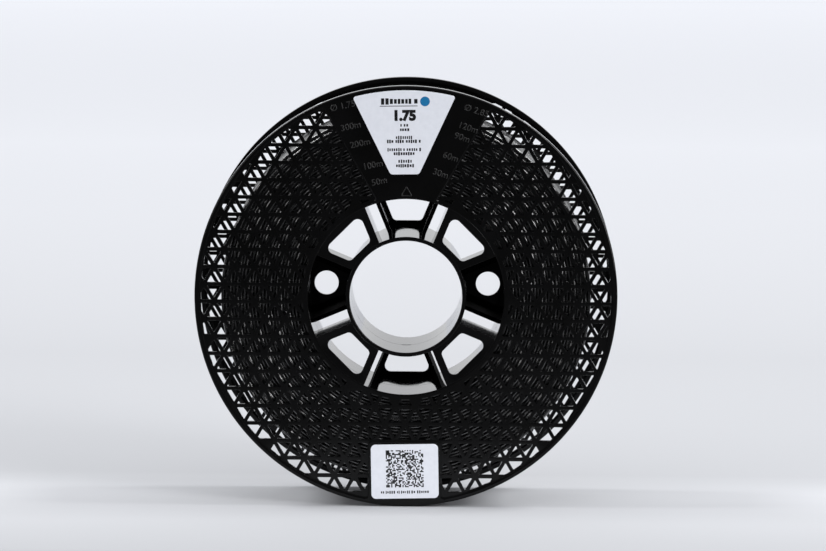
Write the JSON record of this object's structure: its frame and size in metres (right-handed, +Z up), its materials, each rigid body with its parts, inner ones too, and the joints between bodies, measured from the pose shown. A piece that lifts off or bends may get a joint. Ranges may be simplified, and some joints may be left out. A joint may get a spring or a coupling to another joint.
{
  "type": "filament spool",
  "caption": "Wound filament spool in two moulded halves, with triangular lattice flanges, an open ribbed hub and a wide central bore.",
  "frame": {"origin": "centre of the spool, on the bore's axis at the seam between the two halves", "axes": "+Y along the bore axis, away from the labelled front face; +Z up, from the lot label towards the main label; +X to the right seen from the front"},
  "size_m": [0.2, 0.0652, 0.2],
  "materials": {
    "spool_plastic": "semi-gloss moulded black",
    "filament": "glossy dark grey extruded strand",
    "label": "satin coated sticker"
  },
  "bodies": {
    "front_half": {"front_flange": "spool_plastic", "front_barrel": "spool_plastic", "front_bore_tube": "spool_plastic", "front_window_plate_1": "spool_plastic", "front_window_plate_2": "spool_plastic", "front_window_plate_3": "spool_plastic", "front_window_plate_4": "spool_plastic", "front_rib_1": "spool_plastic", "front_rib_2": "spool_plastic", "front_rib_3": "spool_plastic", "front_rib_4": "spool_plastic", "front_rib_5": "spool_plastic", "front_rib_6": "spool_plastic", "front_rib_7": "spool_plastic", "front_rib_8": "spool_plastic", "filament_winding": "filament", "filament_free_end": "filament", "main_label": "label", "lot_label": "label"},
    "rear_half": {"rear_flange": "spool_plastic", "rear_barrel": "spool_plastic", "rear_bore_tube": "spool_plastic", "rear_window_plate_1": "spool_plastic", "rear_window_plate_2": "spool_plastic", "rear_hole_plate_1": "spool_plastic", "rear_hole_plate_2": "spool_plastic", "rear_rib_1": "spool_plastic", "rear_rib_2": "spool_plastic", "rear_rib_3": "spool_plastic", "rear_rib_4": "spool_plastic", "rear_rib_5": "spool_plastic", "rear_rib_6": "spool_plastic", "rear_rib_7": "spool_plastic", "rear_rib_8": "spool_plastic"}
  },
  "joints": [
    {"name": "half_joint", "type": "slide", "parent": "front_half", "child": "rear_half", "axis": [0, 1, 0], "range_m": [0, 0.04]}
  ]
}
